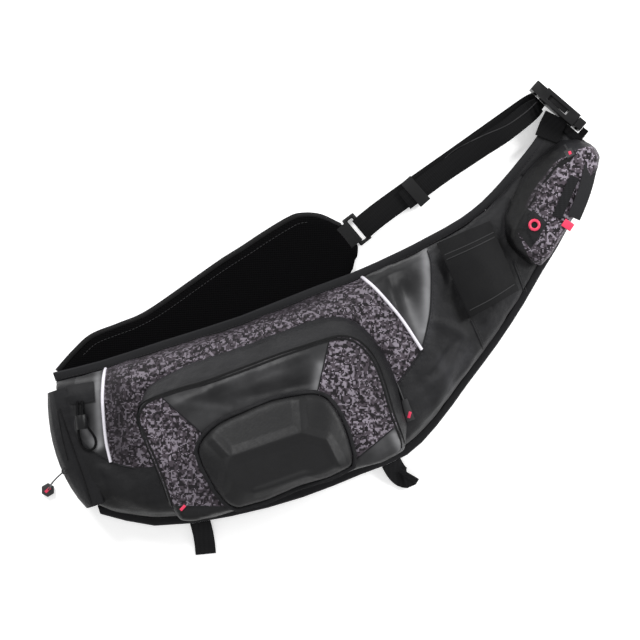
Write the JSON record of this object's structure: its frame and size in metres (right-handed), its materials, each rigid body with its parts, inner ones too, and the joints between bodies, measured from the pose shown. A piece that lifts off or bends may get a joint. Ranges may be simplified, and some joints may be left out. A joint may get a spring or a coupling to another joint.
{
  "type": "fishing tackle sling bag",
  "caption": "Padded waist sling bag with gusseted front pocket, moulded dome pocket, shoulder pouch, folded hip wing and buckled webbing strap, lying on its back.",
  "frame": {"origin": "on the floor under the middle of the sling", "axes": "+X along the sling towards its shoulder end, +Y up in the front view, +Z out of the bag's front"},
  "size_m": [0.6768, 0.5754, 0.1353],
  "materials": {
    "air_mesh": "matte spacer mesh",
    "packcloth": "coated woven nylon",
    "camo_cloth": null,
    "gloss_cloth": "glossy coated cloth",
    "binding_tape": "ribbed binding tape",
    "zip_tape": "coil zip and tape",
    "piping": "light reflective piping",
    "moulded_foam": "moulded foam shell with a cloth skin",
    "neoprene": "knit-faced neoprene",
    "webbing": "woven webbing and elastic cord",
    "hard_plastic": "satin moulded plastic",
    "red_accent": "plain red trim"
  },
  "bodies": {
    "root": {"wing_pad": "air_mesh", "back_pad": "air_mesh", "side_pocket": "air_mesh", "shoulder_pad": "packcloth", "body_shell": "packcloth", "main_pocket": "packcloth", "dome_welt": "packcloth", "tab_patch": "packcloth", "pouch_patch": "packcloth", "front_camo_panel": "camo_cloth", "shoulder_pouch": "camo_cloth", "gloss_panel_left": "gloss_cloth", "gloss_panel_right": "gloss_cloth", "top_binding": "binding_tape", "lower_binding": "binding_tape", "main_zip": "zip_tape", "pocket_zip": "zip_tape", "pouch_zip": "zip_tape", "piping_left": "piping", "piping_right": "piping", "dome_pocket": "moulded_foam", "phone_pocket": "neoprene", "strap_back": "webbing", "strap_front": "webbing", "ring_tab": "webbing", "shoulder_tab": "webbing", "bottom_strap_left": "webbing", "bottom_strap_right": "webbing", "pouch_base_strip": "webbing", "pouch_webbing": "webbing", "bungee_cord": "webbing", "slider": "hard_plastic", "ring": "hard_plastic", "buckle_socket": "hard_plastic", "buckle_prong": "hard_plastic", "cord_lock": "hard_plastic", "side_pull": "hard_plastic", "pocket_pull": "hard_plastic", "pouch_pull": "hard_plastic", "bar_tack": "red_accent", "eyelet": "red_accent", "red_tag": "red_accent"}
  },
  "joints": []
}
